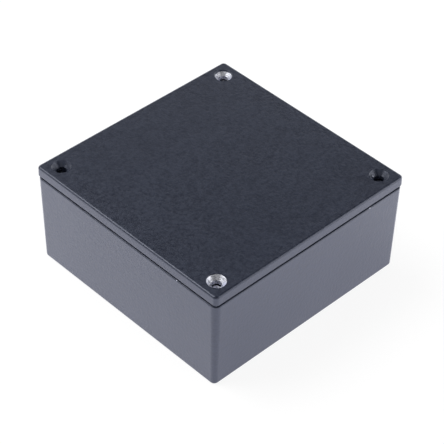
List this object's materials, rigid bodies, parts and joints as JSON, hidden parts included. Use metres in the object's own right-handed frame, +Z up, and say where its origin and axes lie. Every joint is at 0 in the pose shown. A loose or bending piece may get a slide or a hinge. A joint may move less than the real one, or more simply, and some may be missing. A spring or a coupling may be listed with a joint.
{
  "type": "die cast aluminium box",
  "caption": "Square black die cast aluminium enclosure with a flat lap-jointed lid, countersunk corner screw holes and tapped pillars inside.",
  "frame": {"origin": "centre of the base, on the surface the box stands on", "axes": "+Z up through the lid; +X and +Y along the sides of the square"},
  "size_m": [0.12, 0.12, 0.055],
  "materials": {
    "powder_coat": "black fine texture powder coat on die cast aluminium, bare metal in two countersinks and in the tapped holes"
  },
  "bodies": {
    "root": {"box_body": "powder_coat", "lid": "powder_coat"}
  },
  "joints": []
}
